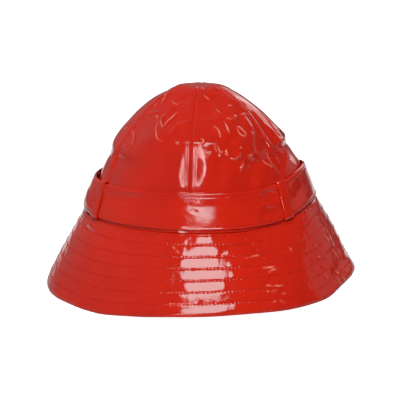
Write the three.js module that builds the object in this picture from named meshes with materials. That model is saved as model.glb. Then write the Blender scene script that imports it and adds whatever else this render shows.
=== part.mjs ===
// A soft domed rain hat in glossy coated cloth: six crown panels, a downturned
// brim, and a wide band held by four belt loops. Millimetres, +Z up, front at -Y.
import * as THREE from "three";

// Crown
const crownHalfWidth = 99;
const crownHalfDepth = 103;
const crownHeight = 106.5;
const crownWall = 1.6;
const panelBulge = 1.4;
const deepestDent = 3.2;
const tipRadius = 2;
const panelNames = [
  "front_left",
  "side_left",
  "back_left",
  "back_right",
  "side_right",
  "front_right",
];

// Brim
const brimHeight = 65.2;
const brimFlareSide = 33;
const brimFlareFront = 36;
const brimWall = 2.4;
const brimBow = 1.6;
const seamLedge = 1.2;
const seamRise = 11;
const rimRise = 14;
const rimReach = 2;

// Band and its loops
const bandWidth = 27.5;
const bandWall = 1.8;
const bandSlack = 2.4;
const bandLapLength = 26;
const loopWidth = 10;
const loopWall = 1.2;
const loopTail = 3;
const loopFoot = 1;
const loopAngles = { front_left: 51, back_left: 128, back_right: -128, front_right: -55 };

// Fit between neighbouring pieces, and how finely the cloth is divided
const clearance = 0.3;
const panelColumns = 10;
const panelRows = 15;
const brimRows = 8;
const bandRows = 3;

// Outline of the crown, as shares of its height and of its half width
const crownProfile = [
  { height: 0.0, width: 1.0 },
  { height: 0.14, width: 0.935 },
  { height: 0.27, width: 0.868 },
  { height: 0.38, width: 0.805 },
  { height: 0.455, width: 0.765 },
  { height: 0.54, width: 0.747 },
  { height: 0.62, width: 0.692 },
  { height: 0.7, width: 0.615 },
  { height: 0.78, width: 0.533 },
  { height: 0.86, width: 0.436 },
  { height: 0.925, width: 0.338 },
  { height: 0.97, width: 0.218 },
  { height: 1.0, width: 0.0 },
];

// Soft dents of the crown. Angles and their spread are in degrees from the front,
// heights are shares of the crown's height and depths of the deepest dent.
const crownDents = [
  { angle: 60, height: 0.62, spreadAngle: 12, spreadHeight: 0.11, depth: 1.0 },
  { angle: 34, height: 0.73, spreadAngle: 9, spreadHeight: 0.07, depth: 0.5 },
  { angle: -20, height: 0.8, spreadAngle: 16, spreadHeight: 0.06, depth: 0.55 },
  { angle: -54, height: 0.42, spreadAngle: 14, spreadHeight: 0.08, depth: 0.8 },
  { angle: 84, height: 0.42, spreadAngle: 16, spreadHeight: 0.08, depth: 0.8 },
  { angle: -120, height: 0.58, spreadAngle: 16, spreadHeight: 0.12, depth: 0.75 },
  { angle: 150, height: 0.62, spreadAngle: 18, spreadHeight: 0.14, depth: 1.0 },
  { angle: -168, height: 0.5, spreadAngle: 16, spreadHeight: 0.12, depth: 0.8 },
];

// How the lower hat waves round the head: the seam's and the rim's lift, and how
// much further out the rim stands, as shares of seamRise, rimRise and rimReach
const brimForm = [
  { angle: -180, seamLift: 0, rimLift: 0, rimOut: 0 },
  { angle: -150, seamLift: 0, rimLift: 0, rimOut: 0 },
  { angle: -120, seamLift: 0, rimLift: 0.2, rimOut: 0.5 },
  { angle: -90, seamLift: 0, rimLift: 0.14, rimOut: 0 },
  { angle: -74, seamLift: 0, rimLift: 0.09, rimOut: 0 },
  { angle: -60, seamLift: 0, rimLift: 0, rimOut: 0 },
  { angle: -36, seamLift: 0, rimLift: 0, rimOut: 0 },
  { angle: -18, seamLift: 0, rimLift: 0.26, rimOut: 0.5 },
  { angle: 0, seamLift: 0, rimLift: 0.47, rimOut: 1 },
  { angle: 20, seamLift: 0, rimLift: 0.54, rimOut: 1 },
  { angle: 38, seamLift: 0.09, rimLift: 0.4, rimOut: 0 },
  { angle: 54, seamLift: 0.41, rimLift: 0.42, rimOut: 0 },
  { angle: 70, seamLift: 0.86, rimLift: 0.8, rimOut: 0 },
  { angle: 88, seamLift: 1, rimLift: 1, rimOut: 0 },
  { angle: 104, seamLift: 0.82, rimLift: 0.71, rimOut: 0.5 },
  { angle: 126, seamLift: 0.18, rimLift: 0, rimOut: 0.5 },
  { angle: 150, seamLift: 0, rimLift: 0, rimOut: 0 },
  { angle: 180, seamLift: 0, rimLift: 0, rimOut: 0 },
];

// How far the band's edges stand off the crown round the head, as shares of bandSlack
const bandForm = [
  { angle: -180, topOff: 0.12, bottomOff: 0.08 },
  { angle: -128, topOff: 0.33, bottomOff: 0.12 },
  { angle: -95, topOff: 0.67, bottomOff: 0.5 },
  { angle: -60, topOff: 1, bottomOff: 0.25 },
  { angle: -30, topOff: 0.33, bottomOff: 0.12 },
  { angle: 0, topOff: 0.08, bottomOff: 0.08 },
  { angle: 30, topOff: 0.25, bottomOff: 0.08 },
  { angle: 51, topOff: 0.9, bottomOff: 0.17 },
  { angle: 72, topOff: 1, bottomOff: 0.33 },
  { angle: 95, topOff: 0.5, bottomOff: 0.42 },
  { angle: 128, topOff: 0.33, bottomOff: 0.12 },
  { angle: 180, topOff: 0.12, bottomOff: 0.08 },
];

const panelCount = panelNames.length;
const columnCount = panelColumns * panelCount;
const loopGap = 1.5 * clearance;
const bandAboveSeam = loopFoot + loopWall + loopGap;
const coatedCloth = new THREE.MeshStandardMaterial({ color: 0xc4261b, roughness: 0.2 });

const radians = (degrees) => THREE.MathUtils.degToRad(degrees);

// A curve through one column of an angle table that never swings past its rows
function roundCurve(rows, column, fullSize) {
  const angles = rows.map((row) => row.angle);
  const values = rows.map((row) => row[column] * fullSize);
  const last = rows.length - 1;
  const slopes = [];
  for (let i = 0; i < last; i += 1) {
    slopes.push((values[i + 1] - values[i]) / (angles[i + 1] - angles[i]));
  }
  const tangents = rows.map((_, i) => {
    const before = slopes[i === 0 ? last - 1 : i - 1];
    const after = slopes[i === last ? 0 : i];
    if (before * after <= 0) {
      return 0;
    }
    return (2 * before * after) / (before + after);
  });
  return (degrees) => {
    const wrapped = THREE.MathUtils.euclideanModulo(degrees + 180, 360) - 180;
    let i = 0;
    while (i < last - 1 && wrapped > angles[i + 1]) {
      i += 1;
    }
    const span = angles[i + 1] - angles[i];
    const s = (wrapped - angles[i]) / span;
    const rise = s * s * (3 - 2 * s);
    const start = s * (1 - s) * (1 - s) * span * tangents[i];
    const end = s * s * (s - 1) * span * tangents[i + 1];
    return values[i] * (1 - rise) + values[i + 1] * rise + start + end;
  };
}

const seamLift = roundCurve(brimForm, "seamLift", seamRise);
const rimLift = roundCurve(brimForm, "rimLift", rimRise);
const rimOut = roundCurve(brimForm, "rimOut", rimReach);
const bandTopOff = roundCurve(bandForm, "topOff", bandSlack);
const bandBottomOff = roundCurve(bandForm, "bottomOff", bandSlack);

const profileCurve = new THREE.SplineCurve(
  crownProfile.map((row) => new THREE.Vector2(row.width, row.height)),
);

// Point in space for an angle, a distance from the axis and a height
function ringPoint(degrees, radius, height) {
  const a = radians(degrees);
  return new THREE.Vector3(radius * Math.sin(a), -radius * Math.cos(a), height);
}

// Radius of the slightly oval head line in one direction
function ovalRadius(degrees, halfWidth, halfDepth) {
  const a = radians(degrees);
  return 1 / Math.hypot(Math.sin(a) / halfWidth, Math.cos(a) / halfDepth);
}

// How far the soft dents push the crown in
function dentDepth(degrees, heightShare) {
  let depth = 0;
  for (const dent of crownDents) {
    const turn = THREE.MathUtils.euclideanModulo(degrees - dent.angle + 180, 360) - 180;
    const across = turn / dent.spreadAngle;
    const along = (heightShare - dent.height) / dent.spreadHeight;
    depth += deepestDent * dent.depth * Math.exp(-across * across - along * along);
  }
  return depth;
}

// Outer face of the crown at an angle and at a place along its outline
function crownSection(degrees, along) {
  const share = profileCurve.getPointAt(along);
  const fromSeam = Math.abs(Math.sin(radians((degrees * panelCount) / 2)));
  const bulge = panelBulge * fromSeam * Math.min(1, share.x * 1.5);
  const dent = dentDepth(degrees, share.y) * Math.min(1, share.x * 2);
  const oval = ovalRadius(degrees, crownHalfWidth, crownHalfDepth);
  const fade = 1 - THREE.MathUtils.smoothstep(share.y, 0.35, 0.85);
  return {
    radius: share.x * oval + bulge * THREE.MathUtils.smoothstep(along, 0.02, 0.25) - dent,
    height: brimHeight + crownHeight * share.y + seamLift(degrees) * fade,
  };
}

// Place along the crown's outline that lies at a height above the seam
function alongAtHeight(degrees, aboveSeam) {
  const goal = brimHeight + seamLift(degrees) + aboveSeam;
  let low = 0;
  let high = 0.8;
  for (let step = 0; step < 24; step += 1) {
    const middle = (low + high) / 2;
    if (crownSection(degrees, middle).height < goal) {
      low = middle;
    } else {
      high = middle;
    }
  }
  return (low + high) / 2;
}

// Inner side of a section, one wall thickness in, square to the section's line
function insetSection(sectionAt, along, wall, flat) {
  const here = sectionAt(along);
  const step = 0.004;
  const before = sectionAt(Math.max(0, along - step));
  const after = sectionAt(Math.min(1, along + step));
  const run = after.radius - before.radius;
  const rise = after.height - before.height;
  const length = Math.hypot(run, rise);
  if (flat) {
    return { radius: here.radius - (wall * length) / Math.abs(rise), height: here.height };
  }
  return {
    radius: here.radius - (wall * rise) / length,
    height: here.height + (wall * run) / length,
  };
}

// Closed solid from an outer and an inner grid of points, row by row
function shellGeometry(outer, inner, closedRound) {
  const rows = outer.length;
  const columns = outer[0].length;
  const points = [...outer.flat(), ...inner.flat()];
  const innerStart = rows * columns;
  const faces = [];
  const outerIndex = (row, column) => row * columns + (column % columns);
  const innerIndex = (row, column) => innerStart + outerIndex(row, column);
  const addQuad = (a, b, c, d) => faces.push(a, b, c, a, c, d);
  const spans = closedRound ? columns : columns - 1;
  for (let row = 0; row < rows - 1; row += 1) {
    for (let column = 0; column < spans; column += 1) {
      addQuad(
        outerIndex(row, column),
        outerIndex(row, column + 1),
        outerIndex(row + 1, column + 1),
        outerIndex(row + 1, column),
      );
      addQuad(
        innerIndex(row, column),
        innerIndex(row + 1, column),
        innerIndex(row + 1, column + 1),
        innerIndex(row, column + 1),
      );
    }
  }
  const top = rows - 1;
  for (let column = 0; column < spans; column += 1) {
    addQuad(
      outerIndex(0, column),
      innerIndex(0, column),
      innerIndex(0, column + 1),
      outerIndex(0, column + 1),
    );
    addQuad(
      outerIndex(top, column),
      outerIndex(top, column + 1),
      innerIndex(top, column + 1),
      innerIndex(top, column),
    );
  }
  if (!closedRound) {
    const side = columns - 1;
    for (let row = 0; row < top; row += 1) {
      addQuad(
        outerIndex(row, 0),
        outerIndex(row + 1, 0),
        innerIndex(row + 1, 0),
        innerIndex(row, 0),
      );
      addQuad(
        outerIndex(row, side),
        innerIndex(row, side),
        innerIndex(row + 1, side),
        outerIndex(row + 1, side),
      );
    }
  }
  const geometry = new THREE.BufferGeometry();
  geometry.setFromPoints(points);
  geometry.setIndex(faces);
  geometry.computeVertexNormals();
  return geometry;
}

// Even places from 0 to 1
function evenShares(count) {
  return Array.from({ length: count + 1 }, (_, i) => i / count);
}

// Place along the crown's outline where it is only as wide as the panels' tips
function tipPlace() {
  let low = 0.5;
  let high = 1;
  for (let step = 0; step < 24; step += 1) {
    const middle = (low + high) / 2;
    if (profileCurve.getPointAt(middle).x * crownHalfWidth > tipRadius) {
      low = middle;
    } else {
      high = middle;
    }
  }
  return low;
}

// One crown panel between two seams, with half the clearance left at each seam
function crownPanel(startAngle) {
  const panelAngle = 360 / panelCount;
  const columns = evenShares(panelColumns);
  const tip = tipPlace();
  const outer = [];
  const inner = [];
  for (const share of evenShares(panelRows)) {
    const along = share * tip;
    const middle = crownSection(startAngle + panelAngle / 2, along);
    const margin = THREE.MathUtils.radToDeg(Math.asin(clearance / 2 / middle.radius));
    const outerRow = [];
    const innerRow = [];
    for (const column of columns) {
      const angle = startAngle + margin + column * (panelAngle - 2 * margin);
      const section = crownSection(angle, along);
      const inset = insetSection((at) => crownSection(angle, at), along, crownWall, share === 0);
      outerRow.push(ringPoint(angle, section.radius, section.height));
      innerRow.push(ringPoint(angle, inset.radius, inset.height));
    }
    outer.push(outerRow);
    inner.push(innerRow);
  }
  return shellGeometry(outer, inner, false);
}

// Outer face of the brim from the rim, at 0, to the seam, at 1
function brimSection(degrees, along) {
  const seamRadius = ovalRadius(degrees, crownHalfWidth, crownHalfDepth) + seamLedge;
  const flare = ovalRadius(degrees, brimFlareSide, brimFlareFront) + rimOut(degrees);
  const rimHeight = rimLift(degrees);
  const seamHeight = brimHeight + seamLift(degrees) - clearance;
  const bow = brimBow * Math.sin(Math.PI * along);
  return {
    radius: seamRadius + flare * (1 - along) + bow,
    height: rimHeight + (seamHeight - rimHeight) * along,
  };
}

// Angles of the evenly spaced columns round the hat
function roundAngles() {
  return Array.from({ length: columnCount }, (_, i) => -180 + (i * 360) / columnCount);
}

function brimGeometry() {
  const outer = [];
  const inner = [];
  for (const along of evenShares(brimRows)) {
    const flat = along === 0 || along === 1;
    const outerRow = [];
    const innerRow = [];
    for (const angle of roundAngles()) {
      const section = brimSection(angle, along);
      const inset = insetSection((at) => brimSection(angle, at), along, brimWall, flat);
      outerRow.push(ringPoint(angle, section.radius, section.height));
      innerRow.push(ringPoint(angle, inset.radius, inset.height));
    }
    outer.push(outerRow);
    inner.push(innerRow);
  }
  return shellGeometry(outer, inner, true);
}

// Inner face of the band from its lower edge, at 0, to its upper edge, at 1
function bandInnerSection(degrees, along) {
  const crown = crownSection(degrees, alongAtHeight(degrees, bandAboveSeam + bandWidth * along));
  const off = THREE.MathUtils.lerp(bandBottomOff(degrees), bandTopOff(degrees), along);
  const lower = crownSection(degrees, alongAtHeight(degrees, bandAboveSeam));
  const upper = crownSection(degrees, alongAtHeight(degrees, bandAboveSeam + bandWidth));
  const straight = THREE.MathUtils.lerp(lower.radius, upper.radius, along);
  return {
    radius: Math.max(crown.radius, straight) + 1.2 * clearance + off,
    height: crown.height,
  };
}

// The band is twice as thick where its ends lap at the back
function bandThickness(degrees) {
  const fromBack = 180 - Math.abs(degrees);
  const halfLap = THREE.MathUtils.radToDeg(bandLapLength / 2 / crownHalfDepth);
  return bandWall * (fromBack <= halfLap ? 2 : 1);
}

function bandGeometry() {
  const outer = [];
  const inner = [];
  for (const along of evenShares(bandRows)) {
    const outerRow = [];
    const innerRow = [];
    for (const angle of roundAngles()) {
      const section = bandInnerSection(angle, along);
      innerRow.push(ringPoint(angle, section.radius, section.height));
      outerRow.push(ringPoint(angle, section.radius + bandThickness(angle), section.height));
    }
    outer.push(outerRow);
    inner.push(innerRow);
  }
  return shellGeometry(outer, inner, true);
}

// A loop is a strip that leaves the crown below the band, passes over the band
// and comes back to the crown above it
function loopGeometry(centreAngle) {
  const halfAngle = THREE.MathUtils.radToDeg(loopWidth / 2 / crownHalfWidth);
  const angles = [centreAngle - halfAngle, centreAngle, centreAngle + halfAngle];
  const outerColumns = [];
  const innerColumns = [];
  for (const angle of angles) {
    const seam = brimHeight + seamLift(angle);
    const lower = bandInnerSection(angle, 0);
    const middle = bandInnerSection(angle, 0.5);
    const upper = bandInnerSection(angle, 1);
    const crownAt = (height) => crownSection(angle, alongAtHeight(angle, height - seam)).radius;
    const footHeight = lower.height - loopGap;
    const shoulder = upper.height + loopGap;
    const footRadius = crownAt(footHeight - loopWall) + loopGap;
    const shoulderRadius = crownAt(shoulder) + loopGap;
    const tailHeight = shoulder + loopTail;
    const tailRadius = crownAt(tailHeight) + loopGap;
    innerColumns.push([
      ringPoint(angle, footRadius, footHeight),
      ringPoint(angle, lower.radius + bandWall + loopGap, footHeight),
      ringPoint(angle, middle.radius + bandWall + loopGap, middle.height),
      ringPoint(angle, upper.radius + bandWall + loopGap, shoulder),
      ringPoint(angle, shoulderRadius, shoulder),
      ringPoint(angle, tailRadius, tailHeight),
    ]);
    outerColumns.push([
      ringPoint(angle, footRadius, footHeight - loopWall),
      ringPoint(angle, lower.radius + bandWall + loopGap + loopWall, footHeight - loopWall),
      ringPoint(angle, middle.radius + bandWall + loopGap + loopWall, middle.height),
      ringPoint(angle, upper.radius + bandWall + loopGap + loopWall, shoulder + loopWall),
      ringPoint(angle, shoulderRadius + loopWall, shoulder + loopWall),
      ringPoint(angle, tailRadius + loopWall, tailHeight),
    ]);
  }
  const rowsOf = (columns) => columns[0].map((_, row) => columns.map((column) => column[row]));
  return shellGeometry(rowsOf(outerColumns), rowsOf(innerColumns), false);
}

// Puts the middle of the hat's box over the origin
function centre(group) {
  const middle = new THREE.Box3().setFromObject(group).getCenter(new THREE.Vector3());
  for (const mesh of group.children) {
    mesh.geometry.translate(-middle.x, -middle.y, 0);
  }
}

function buildHat() {
  const hat = new THREE.Group();
  hat.name = "rain_hat";
  const add = (name, geometry) => {
    const mesh = new THREE.Mesh(geometry, coatedCloth.clone());
    mesh.name = name;
    hat.add(mesh);
  };
  panelNames.forEach((place, i) => {
    add(`crown_panel_${place}`, crownPanel((i * 360) / panelCount));
  });
  add("brim", brimGeometry());
  add("band", bandGeometry());
  for (const [place, angle] of Object.entries(loopAngles)) {
    add(`loop_${place}`, loopGeometry(angle));
  }
  centre(hat);
  return hat;
}

export default buildHat();
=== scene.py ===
import bpy
import math
import numpy as np
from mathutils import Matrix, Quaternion, Vector
from mathutils.bvhtree import BVHTree


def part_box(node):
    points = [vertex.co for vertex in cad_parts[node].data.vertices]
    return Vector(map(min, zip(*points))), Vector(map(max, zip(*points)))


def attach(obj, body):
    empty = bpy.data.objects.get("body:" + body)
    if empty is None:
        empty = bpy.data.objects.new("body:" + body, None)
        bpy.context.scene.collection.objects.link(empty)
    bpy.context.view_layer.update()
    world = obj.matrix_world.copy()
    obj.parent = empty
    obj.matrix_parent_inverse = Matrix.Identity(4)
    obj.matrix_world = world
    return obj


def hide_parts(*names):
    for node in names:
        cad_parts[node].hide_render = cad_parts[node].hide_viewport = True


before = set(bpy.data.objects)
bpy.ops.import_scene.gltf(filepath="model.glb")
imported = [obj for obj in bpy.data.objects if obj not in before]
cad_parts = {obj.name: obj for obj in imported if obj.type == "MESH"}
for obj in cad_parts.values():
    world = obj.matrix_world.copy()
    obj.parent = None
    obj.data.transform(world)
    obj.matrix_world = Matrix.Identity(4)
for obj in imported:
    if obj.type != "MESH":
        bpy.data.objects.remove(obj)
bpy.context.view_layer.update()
mm = 0.001
print("rain hat: frame loaded,", len(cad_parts), "nodes")


# Camera, at the photo's angle to the hat

cameraSpec = {
    "azimuth": 5.2,          # degrees round the hat from its front
    "elevation": 11.8,
    "distance": 1300.0,      # millimetres
    "aimHeight": 71.2,
    "photoWidth": 348.0,     # what the picture takes in across the hat's middle
    "photoPixels": 400,
    "sensor": 36.0,
    "clip": (0.05, 60.0),    # metres
}


def wayTo(azimuth, elevation):
    # the way from the hat, in degrees round it from its front and in degrees up
    azimuth = math.radians(azimuth)
    elevation = math.radians(elevation)
    across = math.cos(elevation)
    return Vector((math.sin(azimuth) * across, -math.cos(azimuth) * across, math.sin(elevation)))


def makeCamera(spec):
    toCamera = wayTo(spec["azimuth"], spec["elevation"])
    data = bpy.data.cameras.new("photo_camera")
    data.sensor_width = spec["sensor"]
    data.lens = data.sensor_width * spec["distance"] / spec["photoWidth"]
    data.clip_start, data.clip_end = spec["clip"]
    camera = bpy.data.objects.new("photo_camera", data)
    camera.location = Vector((0.0, 0.0, spec["aimHeight"] * mm)) + toCamera * spec["distance"] * mm
    camera.rotation_euler = (-toCamera).to_track_quat("-Z", "Y").to_euler()
    bpy.context.scene.collection.objects.link(camera)
    bpy.context.scene.camera = camera
    return camera, toCamera


camera, toCamera = makeCamera(cameraSpec)
acrossView = Vector((-toCamera.y, toCamera.x, 0.0)).normalized()
upView = toCamera.cross(acrossView)


def photoRay(x, y):
    # the direction in which the camera sees a place of the photo
    spec = cameraSpec
    perPixel = spec["photoWidth"] / spec["photoPixels"] / spec["distance"]
    middle = spec["photoPixels"] / 2
    ray = -toCamera + acrossView * (x - middle) * perPixel + upView * (middle - y) * perPixel
    return ray.normalized()


# The hat's form, in millimetres and in degrees from its front

def table(columns, rows):
    names = columns.split()
    return [dict(zip(names, row)) for row in rows]


crownSpec = {
    "halfWidth": 99.0,
    "halfDepth": 103.0,
    "height": 106.5,
    "wall": 1.6,
    "bulge": 1.4,            # how far each panel stands out between its seams
    "deepestDent": 3.2,
    "bulgeStart": (0.02, 0.25),   # shares of the way up over which the bulge starts
    "liftEnd": (0.35, 0.85),      # shares of the height over which the seam's lift fades
    "tipRadius": 0.8,
    "profile": table("height width", [
        (0.0, 1.0), (0.14, 0.935), (0.27, 0.868), (0.38, 0.805), (0.455, 0.765),
        (0.54, 0.747), (0.62, 0.692), (0.7, 0.615), (0.78, 0.533), (0.86, 0.436),
        (0.925, 0.338), (0.97, 0.218), (1.0, 0.0),
    ]),
    "dents": table("angle height spreadAngle spreadHeight depth", [
        (60, 0.62, 12, 0.11, 1.0), (34, 0.73, 9, 0.07, 0.5), (-20, 0.8, 16, 0.06, 0.55),
        (-54, 0.42, 14, 0.08, 0.8), (84, 0.42, 16, 0.08, 0.8), (-120, 0.58, 16, 0.12, 0.75),
        (150, 0.62, 18, 0.14, 1.0), (-168, 0.5, 16, 0.12, 0.8),
    ]),
}

brimSpec = {
    "height": 65.2,
    "flareSide": 33.0,
    "flareFront": 36.0,
    "wall": 2.4,
    "bow": 1.6,
    "ledge": 1.2,
    "seamGap": 0.3,          # below the crown's lower edge
    "slant": 74.0,           # from the rim to the seam along the cloth
    "seamRise": 11.0,
    "rimRise": 14.0,
    "rimReach": 2.0,
    "form": table("angle seamLift rimLift rimOut", [
        (-180, 0, 0, 0), (-150, 0, 0, 0), (-120, 0, 0.2, 0.5), (-90, 0, 0.14, 0),
        (-74, 0, 0.09, 0), (-60, 0, 0, 0), (-36, 0, 0, 0), (-18, 0, 0.26, 0.5),
        (0, 0, 0.47, 1), (20, 0, 0.54, 1), (38, 0.09, 0.4, 0), (54, 0.41, 0.42, 0),
        (70, 0.86, 0.8, 0), (88, 1, 1, 0), (104, 0.82, 0.71, 0.5), (126, 0.18, 0, 0.5),
        (150, 0, 0, 0), (180, 0, 0, 0),
    ]),
}

bandSpec = {
    "width": 27.5,
    "wall": 1.8,
    "slack": 2.4,
    "fit": 0.36,             # clear of the crown where it lies tightest
    "aboveSeam": 2.65,
    "form": table("angle topOff bottomOff", [
        (-180, 0.12, 0.08), (-128, 0.33, 0.12), (-95, 0.67, 0.5), (-60, 1, 0.25),
        (-30, 0.33, 0.12), (0, 0.08, 0.08), (30, 0.25, 0.08), (51, 0.9, 0.17),
        (72, 1, 0.33), (95, 0.5, 0.42), (128, 0.33, 0.12), (180, 0.12, 0.08),
    ]),
}

panelStarts = {
    "front_left": 0, "side_left": 60, "back_left": 120,
    "back_right": 180, "side_right": 240, "front_right": 300,
}

# the crown's axis in the frame, half way from its front to its back
axisY = (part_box("crown_panel_front_left")[0][1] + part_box("crown_panel_back_left")[1][1]) / 2 / mm


def roundCurve(rows, column, fullSize):
    # a curve through one column that never swings past its rows
    angles = np.array([row["angle"] for row in rows], float)
    values = np.array([row[column] for row in rows], float) * fullSize
    slopes = np.diff(values) / np.diff(angles)
    before = np.concatenate([slopes[-1:], slopes])
    after = np.concatenate([slopes, slopes[:1]])
    product = before * after
    total = np.where(product > 0, before + after, 1.0)
    tangents = np.where(product > 0, 2 * product / total, 0.0)

    def curve(degrees):
        wrapped = (np.asarray(degrees, float) + 180) % 360 - 180
        i = np.clip(np.searchsorted(angles, wrapped, side="right") - 1, 0, len(slopes) - 1)
        span = angles[i + 1] - angles[i]
        s = (wrapped - angles[i]) / span
        rise = s * s * (3 - 2 * s)
        start = s * (1 - s) ** 2 * span * tangents[i]
        end = s * s * (s - 1) * span * tangents[i + 1]
        return values[i] * (1 - rise) + values[i + 1] * rise + start + end

    return curve


seamLift = roundCurve(brimSpec["form"], "seamLift", brimSpec["seamRise"])
rimLift = roundCurve(brimSpec["form"], "rimLift", brimSpec["rimRise"])
rimOut = roundCurve(brimSpec["form"], "rimOut", brimSpec["rimReach"])
bandTopOff = roundCurve(bandSpec["form"], "topOff", bandSpec["slack"])
bandBottomOff = roundCurve(bandSpec["form"], "bottomOff", bandSpec["slack"])


def smoothStep(value, low, high):
    s = np.clip((value - low) / (high - low), 0, 1)
    return s * s * (3 - 2 * s)


def atLeast(rest, mask):
    # a mask that falls no further than rest
    return rest + (1 - rest) * mask


def bump(distance, width):
    return np.exp(-(distance / width) ** 2)


def lengthsAlong(line):
    steps = np.linalg.norm(np.diff(line, axis=0), axis=1)
    return np.concatenate([[0], np.cumsum(steps)])


def placesAt(line, lengths, where):
    return np.stack([np.interp(where, lengths, line[:, k]) for k in range(3)], axis=1)


def smoothCurve(points, before, after, perSpan):
    # a smooth curve through the points; before and after say how it leaves its ends
    padded = np.vstack([before, points, after])
    t = np.linspace(0, 1, perSpan, endpoint=False)[:, None]
    line = []
    for a, b, c, d in zip(padded, padded[1:], padded[2:], padded[3:]):
        line.append(0.5 * (2 * b + (c - a) * t + (2 * a - 5 * b + 4 * c - d) * t ** 2
                           + (3 * b - a - 3 * c + d) * t ** 3))
    return np.vstack(line + [points[-1:]])


def smoothPath(points, perSpan):
    # the same, running straight on at its ends
    return smoothCurve(points, 2 * points[0] - points[1], 2 * points[-1] - points[-2], perSpan)


def profileLine(rows):
    # smooth line through the crown's profile, with each point's share of its length
    points = np.array([(row["width"], row["height"]) for row in rows])
    line = smoothCurve(points, points[0], points[-1], 60)
    lengths = lengthsAlong(line)
    return lengths / lengths[-1], line


profileAlong, profilePoints = profileLine(crownSpec["profile"])


def ringPoints(degrees, radius, height):
    a = np.radians(degrees)
    return np.stack([radius * np.sin(a), axisY - radius * np.cos(a), height + 0 * a], axis=-1)


def surface(section, degrees, along):
    return ringPoints(degrees, *section(degrees, along))


def ovalRadius(degrees, halfWidth, halfDepth):
    a = np.radians(degrees)
    return 1 / np.hypot(np.sin(a) / halfWidth, np.cos(a) / halfDepth)


def turn(degrees, fromDegrees):
    return (degrees - fromDegrees + 180) % 360 - 180


def crownSection(degrees, along):
    spec = crownSpec
    width = np.interp(along, profileAlong, profilePoints[:, 0])
    height = np.interp(along, profileAlong, profilePoints[:, 1])
    bulge = spec["bulge"] * np.abs(np.sin(np.radians(degrees * 3))) * np.minimum(1, width * 1.5)
    dent = 0.0
    for row in spec["dents"]:
        across = turn(degrees, row["angle"]) / row["spreadAngle"]
        up = (height - row["height"]) / row["spreadHeight"]
        dent = dent + spec["deepestDent"] * row["depth"] * np.exp(-across ** 2 - up ** 2)
    oval = ovalRadius(degrees, spec["halfWidth"], spec["halfDepth"])
    radius = (width * oval + bulge * smoothStep(along, *spec["bulgeStart"])
              - dent * np.minimum(1, width * 2))
    lift = seamLift(degrees) * (1 - smoothStep(height, *spec["liftEnd"]))
    return radius, brimSpec["height"] + spec["height"] * height + lift


def crownAtHeight(degrees, aboveSeam):
    # the crown's radius at a height over its seam, for arrays of angles
    degrees = np.asarray(degrees, float)
    goal = brimSpec["height"] + seamLift(degrees) + aboveSeam
    low = np.zeros_like(goal)
    high = np.full_like(goal, 0.8)
    for _ in range(16):
        middle = (low + high) / 2
        under = crownSection(degrees, middle)[1] < goal
        low = np.where(under, middle, low)
        high = np.where(under, high, middle)
    return crownSection(degrees, low)[0], goal


def brimSection(degrees, along):
    # outer face of the brim, from the rim at 0 to the seam at 1
    spec = brimSpec
    seamRadius = ovalRadius(degrees, crownSpec["halfWidth"], crownSpec["halfDepth"]) + spec["ledge"]
    flare = ovalRadius(degrees, spec["flareSide"], spec["flareFront"]) + rimOut(degrees)
    rimHeight = rimLift(degrees)
    seamHeight = spec["height"] + seamLift(degrees) - spec["seamGap"]
    radius = seamRadius + flare * (1 - along) + spec["bow"] * np.sin(np.pi * along)
    return radius, rimHeight + (seamHeight - rimHeight) * along


def bandSection(degrees, along):
    # inner face of the band, from its lower edge at 0 to its upper edge at 1
    spec = bandSpec
    lower = crownAtHeight(degrees, spec["aboveSeam"])[0]
    upper = crownAtHeight(degrees, spec["aboveSeam"] + spec["width"])[0]
    here, height = crownAtHeight(degrees, spec["aboveSeam"] + spec["width"] * along)
    straight = lower + (upper - lower) * along
    off = bandBottomOff(degrees) * (1 - along) + bandTopOff(degrees) * along
    return np.maximum(here, straight) + spec["fit"] + off, height


# Noise in space, the same on every run

def spaceNoise(points, size, seed):
    # smooth noise from -1 to 1, with features about as wide as size
    generator = np.random.default_rng(seed)
    lattice = generator.uniform(-1, 1, (32, 32, 32))
    place = points / size + 100.0
    cell = np.floor(place).astype(int)
    part = place - cell
    part = part * part * part * (part * (part * 6 - 15) + 10)
    total = 0.0
    for i in (0, 1):
        for j in (0, 1):
            for k in (0, 1):
                weight = ((part[..., 0] if i else 1 - part[..., 0])
                          * (part[..., 1] if j else 1 - part[..., 1])
                          * (part[..., 2] if k else 1 - part[..., 2]))
                total = total + weight * lattice[(cell[..., 0] + i) % 32,
                                                 (cell[..., 1] + j) % 32,
                                                 (cell[..., 2] + k) % 32]
    return total * 1.6


def crumple(points, size, seed, crispness, tilt):
    # cloth creased into leaning flats that meet in crisp ridges
    generator = np.random.default_rng(seed)
    low = points.reshape(-1, 3).min(0) - size
    high = points.reshape(-1, 3).max(0) + size
    counts = np.ceil((high - low) / size).astype(int)
    height = np.zeros(points.shape[:-1])
    weights = np.zeros(points.shape[:-1])
    sparse = points[::6, ::6].reshape(-1, 3)
    for index in np.ndindex(*counts):
        centre = low + (np.array(index) + generator.uniform(0, 1, 3)) * size
        lean = generator.normal(0, tilt, 3)
        if np.min(np.max(np.abs(sparse - centre), axis=1)) > 2.2 * size:
            continue
        near = np.all(np.abs(points - centre) < 1.9 * size, axis=-1)
        offset = points[near] - centre
        weight = np.exp(-crispness * np.sum(offset ** 2, axis=-1) / size ** 2)
        height[near] += weight * (offset @ lean)
        weights[near] += weight
    return height / np.maximum(weights, 1e-12)


# Creases and dents placed by where the photo shows them

def surfaceTree(points):
    rows, columns = points.shape[:2]
    flat = [Vector(p) for p in points.reshape(-1, 3)]
    faces = []
    for r in range(rows - 1):
        for c in range(columns - 1):
            a = r * columns + c
            faces.append((a, a + 1, a + columns + 1, a + columns))
    return BVHTree.FromPolygons(flat, faces)


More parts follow.
